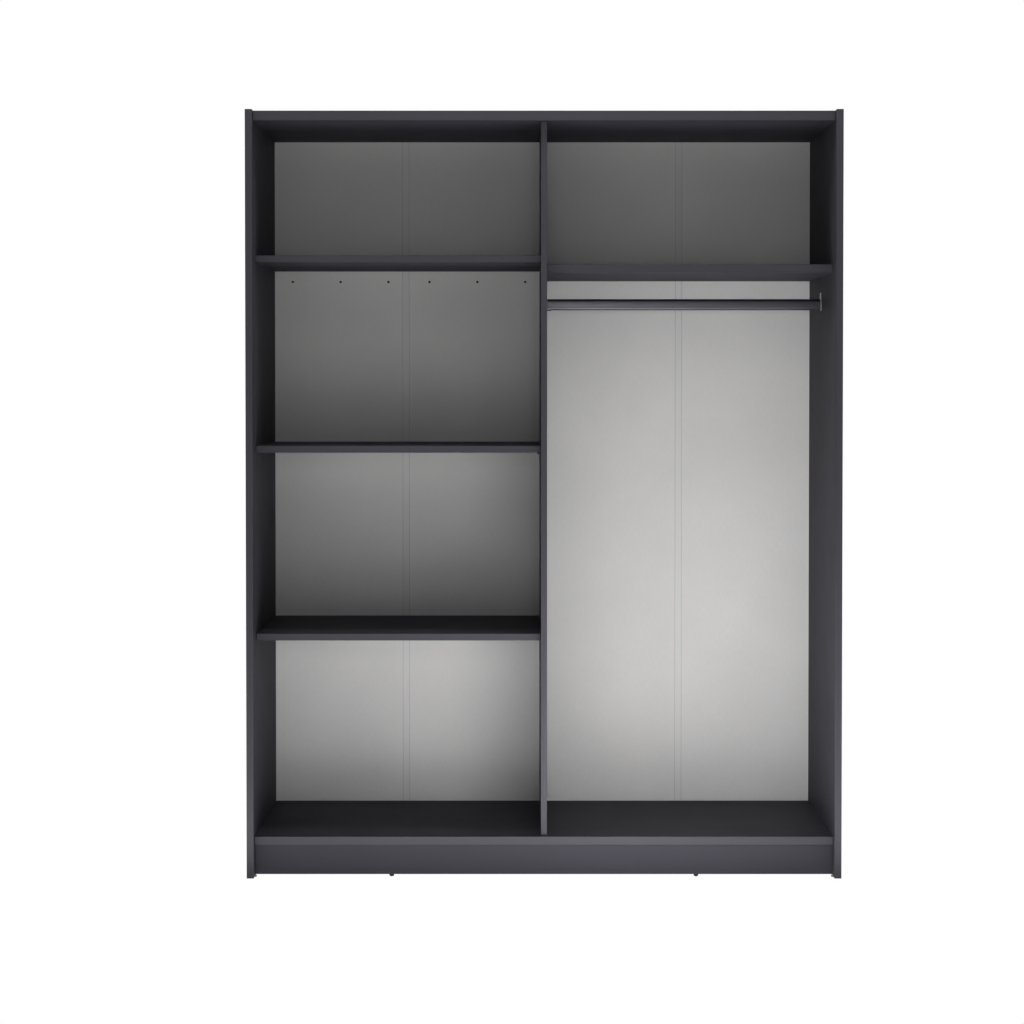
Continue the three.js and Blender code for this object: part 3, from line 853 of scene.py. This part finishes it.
class WARDROBE_OT_rail(bpy.types.Operator):
    """Makes the hanging rail, its two supports and their screws"""

    bl_idname = "wardrobe.rail"
    bl_label = "Make Hanging Rail"

    tube_wall = 1.0 * MM
    tube_steps = 64
    plate_thick = 2.0 * MM
    plate_corner = 3.5 * MM
    plate_rim = 0.5 * MM
    cup_wall = 1.5 * MM
    cup_play = 0.5 * MM
    cup_rim = 0.3 * MM
    cup_steps = 24

    def execute(self, context):
        sizes = context.scene.wardrobe_sizes
        low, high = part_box("hanging_rail")
        bm = oval_tube(low, high, self.tube_wall, self.tube_steps)
        shade_by_angle(bm)
        rail = make_object("hanging_rail_tube", bm, ["rail"])
        finish_piece(rail, "rail", "rail_steel", "hanging_rail")
        for hand, inward in (("left", RIGHTWARD), ("right", LEFTWARD)):
            self.add_support(hand, inward, low, high)
            self.add_screw(hand, inward, sizes)
        return {"FINISHED"}

    def plate(self, node, inward):
        """The upright plate against the panel, with rounded corners and a softened rim."""
        low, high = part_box(node)
        if inward.x > 0:
            high.x = low.x + self.plate_thick
        else:
            low.x = high.x - self.plate_thick
        bm = block(low, high)
        corners = [e for e in bm.edges if e.verts[0].co.x != e.verts[1].co.x]
        round_off(bm, corners, self.plate_corner, 6)
        round_off(bm, rims_of(bm), self.plate_rim, 3)
        return bm

    def cup(self, node, inward, rail_low, rail_high):
        """The U that the rail drops into, open at its top."""
        low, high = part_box(node)
        radius = (rail_high.y - rail_low.y) / 2
        centre = middle_of(rail_low, rail_high)
        bend_z = rail_low.z + radius
        lip_z = rail_high.z - radius
        line = radius + self.cup_play + self.cup_wall / 2
        half_plate = self.plate_thick * 0.5
        start_x, end_x = (low.x + half_plate, high.x) if inward.x > 0 else (high.x - half_plate, low.x)
        bm = bmesh.new()
        first = bm.verts.new((start_x, centre.y + line, bend_z))
        bmesh.ops.spin(
            bm, geom=[first], cent=(start_x, centre.y, bend_z), axis=(-1, 0, 0),
            angle=math.pi, steps=self.cup_steps, use_merge=False,
        )
        bm.verts.ensure_lookup_table()
        ends = [v for v in bm.verts if len(v.link_edges) == 1]
        for end in ends:
            made = bmesh.ops.extrude_vert_indiv(bm, verts=[end])
            made["verts"][0].co.z = lip_z
        made = bmesh.ops.extrude_edge_only(bm, edges=bm.edges[:])
        far = [g for g in made["geom"] if isinstance(g, bmesh.types.BMVert)]
        bmesh.ops.translate(bm, vec=(end_x - start_x, 0, 0), verts=far)
        bmesh.ops.recalc_face_normals(bm, faces=bm.faces)
        lowest = min(bm.faces, key=lambda f: f.calc_center_median().z)
        if lowest.normal.z > 0:
            bmesh.ops.reverse_faces(bm, faces=bm.faces)
        for face in bm.faces:
            face.normal_update()
        for vert in bm.verts:
            vert.normal_update()
        for vert in bm.verts:
            vert.co += vert.normal * self.cup_wall / 2
        bmesh.ops.solidify(bm, geom=bm.faces[:], thickness=self.cup_wall)
        bmesh.ops.recalc_face_normals(bm, faces=bm.faces)
        round_off(bm, rims_of(bm), self.cup_rim, 2)
        return bm

    def add_support(self, hand, inward, rail_low, rail_high):
        """One support: its plate, and the cup that stands on it, in the dark rail coating as painted shade in
        place of chrome.
        """
        node = f"rail_support_{hand}"
        support = make_object(f"{node}_casting", self.plate(node, inward), ["chrome"])
        # Painted shade: the cup takes the dark rail coating rather than the plate's chrome, so it stays dark
        # and shows no bright reflection from below.
        cup = make_object(f"{node}_cup", self.cup(node, inward, rail_low, rail_high), ["rail"])
        finish_piece(support, "carcass", "support_chrome", node)
        finish_piece(cup, "carcass", "rail_steel")

    def add_screw(self, hand, inward, sizes):
        """The countersunk screw above the rail."""
        node = f"rail_screw_{hand}"
        low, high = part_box(node)
        face = middle_of(low, high)
        face.x = high.x if inward.x > 0 else low.x
        span = high.x - low.x
        head = (high.z - low.z) / 2
        shank = head * 0.5
        profile = [
            (0, -span),
            (head * 0.3, -span + 2 * MM),
            (shank, -span + 4 * MM),
            (shank, -2.4 * MM),
            (head, -0.4 * MM),
            (head, -0.2 * MM),
            (head * 0.9, 0),
            (0, 0),
        ]
        steps = sizes.round_steps
        screw = turned_object(f"{node}_metal", profile, face, inward, steps, ["chrome", "zinc"])
        carve(screw, cross_cutters(face, inward, head * 1.1, head * 0.22, 1.4 * MM))
        finish_piece(screw, "carcass", "support_chrome", node)


def cross_cutters(face, outward, reach, width, depth):
    """Two crossed bars that cut a screwdriver's recess into a face."""
    turn = UP.rotation_difference(outward).to_matrix().to_4x4()
    bars = []
    for long_axis in (0, 1):
        half = Vector((width / 2, width / 2, depth))
        half[long_axis] = reach / 2
        bar = block(-half, half)
        bmesh.ops.transform(bar, matrix=Matrix.Translation(face) @ turn, verts=bar.verts)
        bars.append(bar)
    return bars


# Fittings


class WARDROBE_OT_fittings(bpy.types.Operator):
    """Makes the cam drums, bolts, caps, shelf pins and partition screws"""

    bl_idname = "wardrobe.fittings"
    bl_label = "Make Fittings"

    def execute(self, context):
        sizes = context.scene.wardrobe_sizes
        for node, board, end, mouth in cam_places():
            self.add_cam(node, end, mouth, sizes)
            if board in CAPPED_BOARDS:
                self.add_cap(node, end, mouth, sizes)
        for node in sorted(nodes_like("pin_")):
            self.add_pin(node)
        for node in sorted(nodes_like("partition_screw_")):
            self.add_partition_screw(node, sizes)
        return {"FINISHED"}

    def add_cam(self, node, end, mouth, sizes):
        """A cam drum with its driver recess, and the bolt that it pulls."""
        radius, face, depth, whole = drum_of(node, end, mouth)
        rim = 0.5 * MM
        profile = [
            (0, -depth),
            (radius - rim, -depth),
            (radius, rim - depth),
            (radius, -rim),
            (radius - rim, 0),
            (0, 0),
        ]
        drum = turned_object(f"{node}_drum", profile, face, mouth, sizes.round_steps, ["zinc"])
        carve(drum, cross_cutters(face, mouth, radius * 1.25, radius * 0.24, 3 * MM))
        finish_piece(drum, "carcass", "zinc_steel", node)

        bolt_radius = 3 * MM
        neck = bolt_radius * 0.7
        play = 0.2 * MM
        axis_drop = 3.5 * MM
        reach = whole - 2 * radius
        outward = Vector((end, 0, 0))
        start = face - mouth * (depth - axis_drop) + outward * (radius + play)
        shank = [
            (0, 0),
            (neck, 0),
            (neck, reach * 0.55),
            (bolt_radius, reach * 0.6),
            (bolt_radius, reach - 1 * MM),
            (neck, reach - play),
            (0, reach - play),
        ]
        bolt = turned_object(f"{node}_bolt", shank, start, outward, 20, ["zinc"])
        finish_piece(bolt, "carcass", "zinc_steel")

    def add_cap(self, node, end, mouth, sizes):
        """The plastic cap over a drum on a face that shows."""
        face = drum_of(node, end, mouth)[1]
        radius = sizes.cap_diameter / 2
        thick = sizes.cap_thick
        board_face = face + mouth * DRUM_SINK
        profile = [
            (0, 0),
            (radius, 0),
            (radius, thick * 0.35),
            (radius * 0.96, thick * 0.75),
            (radius * 0.88, thick),
            (0, thick),
        ]
        name = node.replace("cam_", "cap_")
        cap = turned_object(name, profile, board_face, mouth, sizes.round_steps, ["dark_plastic"])
        finish_piece(cap, "carcass", "glide_plastic")

    def add_pin(self, node):
        """A plain steel peg with rounded ends."""
        low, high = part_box(node)
        radius = (high.z - low.z) / 2
        span = high.x - low.x
        start = middle_of(low, high)
        start.x = low.x
        rim = 0.7 * MM
        profile = [
            (0, 0),
            (radius - rim, 0),
            (radius - rim * 0.3, rim * 0.3),
            (radius, rim),
            (radius, span - rim),
            (radius - rim * 0.3, span - rim * 0.3),
            (radius - rim, span),
            (0, span),
        ]
        peg = turned_object(f"{node}_peg", profile, start, RIGHTWARD, 28, ["burnished"])
        finish_piece(peg, "carcass", "zinc_steel", node)

    def add_partition_screw(self, node, sizes):
        """A screw through the top or bottom panel, with its driver recess."""
        low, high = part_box(node)
        outward = UP if "_top_" in node else DOWN
        face = middle_of(low, high)
        face.z = high.z if outward.z > 0 else low.z
        head = (high.x - low.x) / 2
        shank = head * 0.5
        collar = head * 0.7
        span = high.z - low.z
        profile = [
            (0, -span),
            (head * 0.3, -span + 3 * MM),
            (shank, -span + 6 * MM),
            (shank, -span + 30 * MM),
            (collar, -span + 31 * MM),
            (collar, -3 * MM),
            (head, -0.6 * MM),
            (head, -0.3 * MM),
            (head * 0.93, 0),
            (0, 0),
        ]
        screw = turned_object(f"{node}_metal", profile, face, outward, sizes.round_steps, ["zinc"])
        carve(screw, cross_cutters(face, outward, head * 1.1, head * 0.22, 2 * MM))
        finish_piece(screw, "carcass", "zinc_steel", node)


class WARDROBE_OT_glides(bpy.types.Operator):
    """Makes the glides under the sides and the front plinth"""

    bl_idname = "wardrobe.glides"
    bl_label = "Make Glides"

    side_tall = 4.7 * MM
    plinth_tall = 6.7 * MM
    rim = 0.4 * MM
    nail = 1.0 * MM

    def execute(self, context):
        sizes = context.scene.wardrobe_sizes
        for node in sorted(nodes_like("glide_")):
            low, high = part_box(node)
            base = middle_of(low, high)
            base.z = 0
            radius = (high.x - low.x) / 2
            if "side" in node:
                foot, tall, finish = self.flat_foot(radius), self.side_tall, "grey_plastic"
            else:
                foot, tall, finish = self.domed_foot(radius), self.plinth_tall, "dark_plastic"
            profile = [
                *foot,
                (radius, tall - self.rim),
                (radius - self.rim, tall),
                (self.nail, tall),
                (self.nail, high.z - 2 * MM),
                (0, high.z),
            ]
            glide = turned_object(f"{node}_foot", profile, base, UP, sizes.round_steps, [finish])
            finish_piece(glide, "carcass", "glide_plastic", node)
        return {"FINISHED"}

    def flat_foot(self, radius):
        """The sole of a disc with a rounded edge."""
        edge = 1.2 * MM
        arc = [math.radians(angle) for angle in (-90, -60, -30, 0)]
        rounded = [(radius - edge + edge * math.cos(a), edge + edge * math.sin(a)) for a in arc]
        return [(0, 0), *rounded]

    def domed_foot(self, radius):
        """A domed sole with a small flat under its middle."""
        tall = radius / 2
        arc = [math.radians(angle) for angle in (-60, -45, -30, -15, 0)]
        drop = -math.sin(arc[0])
        rounded = [(radius * math.cos(a), tall + tall * math.sin(a) / drop) for a in arc]
        return [(0, 0), *rounded]


# Stage

# Radius of the floor and of the dome around it
STUDIO_RADIUS = 40.0
# How far below and above the horizon the two glows run into each other
HORIZON_BLEND = 0.03
SENSOR_WIDTH = 36
VIEW_GAMMA = 0.8

# Each soft light: its power in watts, its place, the point that it faces and its size
STUDIO_LIGHTS = {
    "floor_bounce": (6.6, (0.0, -0.62, 0.03), (0.0, -0.5, 3.0), (2.0, 0.45)),
    "low_left": (1.5, (-0.38, -0.85, 0.05), (-0.36, 0.25, 0.62), (0.6, 0.25)),
    "low_right": (5.5, (0.2, -0.95, 0.25), (0.75, -0.15, 0.8), (0.4, 0.4)),
    "front_low": (4.3, (0.0, -2.2, 0.35), (0.0, 0.0, 0.5), (2.5, 0.6)),
    "front_high": (10.5, (0.0, -3.5, 2.9), (0.0, 0.0, 1.3), (2.5, 1.2)),
    "front_far": (16.5, (0.0, -5.5, 1.5), (0.0, 0.0, 1.2), (0.8, 0.6)),
    "overhead": (19.0, (0.0, -0.62, 2.9), (0.0, -0.4, 0.5), (2.2, 0.4)),
    "rear": (40.0, (0.8, 3.6, 2.2), (0.0, 0.3, 1.0), (2.6, 1.8)),
    "side_left": (34.0, (-4.2, 1.0, 1.7), (-0.8, 0.0, 1.0), (1.6, 1.8)),
    "side_right": (34.0, (4.2, 1.0, 1.7), (0.8, 0.0, 1.0), (1.6, 1.8)),
    "top_rear": (26.0, (0.0, 1.4, 4.4), (0.0, 0.1, 2.0), (2.0, 1.0)),
}


class WARDROBE_OT_stage(bpy.types.Operator):
    """Sets the floor, the lights and the camera"""

    bl_idname = "wardrobe.stage"
    bl_label = "Make Stage"

    def execute(self, context):
        stage = context.scene.wardrobe_stage
        self.add_floor(stage)
        self.add_glow(context, stage)
        for name, (power, place, target, size) in STUDIO_LIGHTS.items():
            self.add_light(context, name, power, place, target, size)
        self.add_camera(context, stage)
        return {"FINISHED"}

    def add_floor(self, stage):
        """A plain pale floor inside a plain pale dome, which only the camera sees."""
        material, _, shader = start_material("studio_white")
        shader.inputs["Base Color"].default_value = (0, 0, 0, 1)
        shader.inputs["Specular IOR Level"].default_value = 0
        shader.inputs["Emission Color"].default_value = (*stage.floor, 1)
        shader.inputs["Emission Strength"].default_value = 1
        FINISHES["studio"] = material
        ground = bmesh.new()
        bmesh.ops.create_circle(ground, cap_ends=True, segments=64, radius=STUDIO_RADIUS)
        dome = bmesh.new()
        bmesh.ops.create_icosphere(dome, subdivisions=4, radius=STUDIO_RADIUS)
        for name, bm in (("studio_floor", ground), ("studio_dome", dome)):
            shell = make_object(name, bm, ["studio"])
            shell.visible_diffuse = False
            shell.visible_glossy = False
            shell.visible_transmission = False
            shell.visible_shadow = False

    def add_glow(self, context, stage):
        """Soft light from all round, stronger below the horizon than above it."""
        world = bpy.data.worlds.new("studio")
        context.scene.world = world
        world.use_nodes = True
        tree = world.node_tree
        direction = tree.nodes.new("ShaderNodeTexCoord")
        split = tree.nodes.new("ShaderNodeSeparateXYZ")
        tree.links.new(direction.outputs["Generated"], split.inputs["Vector"])
        glows = (stage.glow_below, stage.glow_above)
        blend = mapped(tree, split.outputs["Z"], (-HORIZON_BLEND, HORIZON_BLEND), glows)
        background = tree.nodes["Background"]
        background.inputs["Color"].default_value = (1, 1, 1, 1)
        tree.links.new(blend, background.inputs["Strength"])
        context.scene.view_settings.view_transform = "Standard"
        context.scene.view_settings.gamma = VIEW_GAMMA

    def add_light(self, context, name, power, place, target, size):
        """A soft rectangular light that the camera doesn't see."""
        data = bpy.data.lights.new(name, "AREA")
        data.shape = "RECTANGLE"
        data.size, data.size_y = size
        data.energy = power
        light = bpy.data.objects.new(name, data)
        context.scene.collection.objects.link(light)
        light.location = place
        light.rotation_euler = (Vector(target) - Vector(place)).to_track_quat("-Z", "Y").to_euler()
        light.visible_camera = False

    def add_camera(self, context, stage):
        """A long lens in front of the wardrobe, a little above its middle."""
        data = bpy.data.cameras.new("camera")
        data.lens = stage.lens
        data.sensor_width = SENSOR_WIDTH
        data.shift_x = stage.shift_x
        data.shift_y = stage.shift_y
        camera = bpy.data.objects.new("camera", data)
        context.scene.collection.objects.link(camera)
        camera.location = stage.camera_place
        camera.rotation_euler = (math.pi / 2 - stage.camera_pitch, 0, 0)
        context.scene.camera = camera


class WARDROBE_PT_panel(bpy.types.Panel):
    """Lists the steps that build the wardrobe"""

    bl_idname = "WARDROBE_PT_panel"
    bl_label = "Wardrobe"
    bl_space_type = "VIEW_3D"
    bl_region_type = "UI"
    bl_category = "Wardrobe"

    def draw(self, context):
        column = self.layout.column()
        for operator in OPERATORS:
            column.operator(operator.bl_idname)
        scene = context.scene
        for group in (scene.wardrobe_sizes, scene.wardrobe_colours, scene.wardrobe_stage):
            for name in group.bl_rna.properties.keys():
                if name not in ("rna_type", "name"):
                    column.prop(group, name)


OPERATORS = (
    WARDROBE_OT_boards,
    WARDROBE_OT_bands,
    WARDROBE_OT_back,
    WARDROBE_OT_rail,
    WARDROBE_OT_fittings,
    WARDROBE_OT_glides,
    WARDROBE_OT_stage,
)
GROUPS = (WardrobeSizes, WardrobeColours, WardrobeStage)


def register():
    for cls in (*GROUPS, *OPERATORS, WARDROBE_PT_panel):
        bpy.utils.register_class(cls)
    bpy.types.Scene.wardrobe_sizes = PointerProperty(type=WardrobeSizes)
    bpy.types.Scene.wardrobe_colours = PointerProperty(type=WardrobeColours)
    bpy.types.Scene.wardrobe_stage = PointerProperty(type=WardrobeStage)


def unregister():
    del bpy.types.Scene.wardrobe_stage
    del bpy.types.Scene.wardrobe_colours
    del bpy.types.Scene.wardrobe_sizes
    for cls in reversed((*GROUPS, *OPERATORS, WARDROBE_PT_panel)):
        bpy.utils.unregister_class(cls)


def main():
    register()
    make_finishes(bpy.context.scene.wardrobe_colours)
    bpy.ops.wardrobe.boards()
    bpy.ops.wardrobe.bands()
    bpy.ops.wardrobe.back()
    bpy.ops.wardrobe.rail()
    bpy.ops.wardrobe.fittings()
    bpy.ops.wardrobe.glides()
    bpy.ops.wardrobe.stage()


if __name__ == "__main__":
    main()
